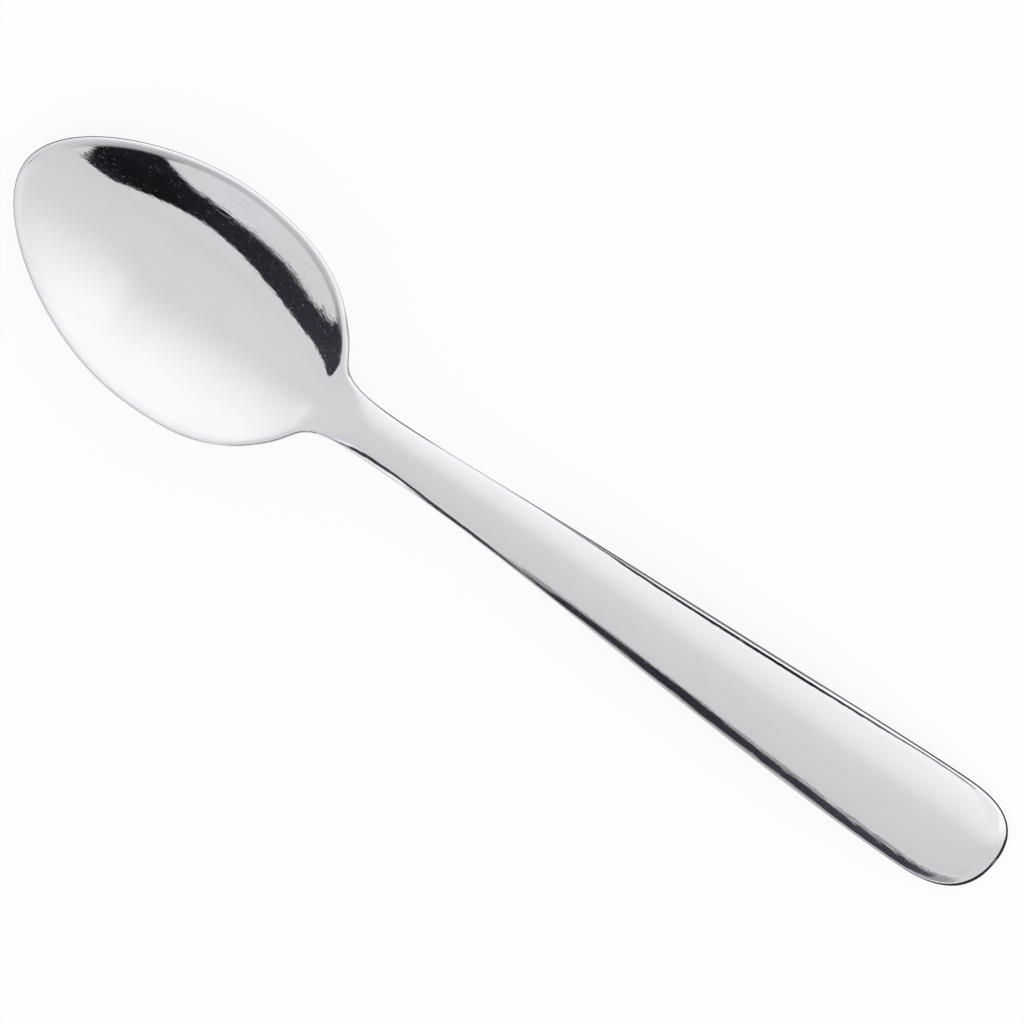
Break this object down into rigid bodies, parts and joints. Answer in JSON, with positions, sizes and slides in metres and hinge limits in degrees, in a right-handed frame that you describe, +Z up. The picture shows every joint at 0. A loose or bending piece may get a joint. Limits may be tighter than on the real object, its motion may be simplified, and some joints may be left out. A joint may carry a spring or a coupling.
{
  "type": "teaspoon",
  "caption": "Polished steel teaspoon with an egg-shaped bowl, a narrow thick neck and a plain crowned handle that widens to a round end.",
  "frame": {"origin": "middle of the spoon's length and width, at the height of the table it lies on", "axes": "+X along the spoon from the tip of the bowl to the round end of the handle, +Z up out of the open bowl, +Y across"},
  "size_m": [0.155, 0.033, 0.0105],
  "materials": {
    "polished_steel": "polished"
  },
  "bodies": {
    "root": {"bowl": "polished_steel", "neck": "polished_steel", "handle": "polished_steel"}
  },
  "joints": []
}
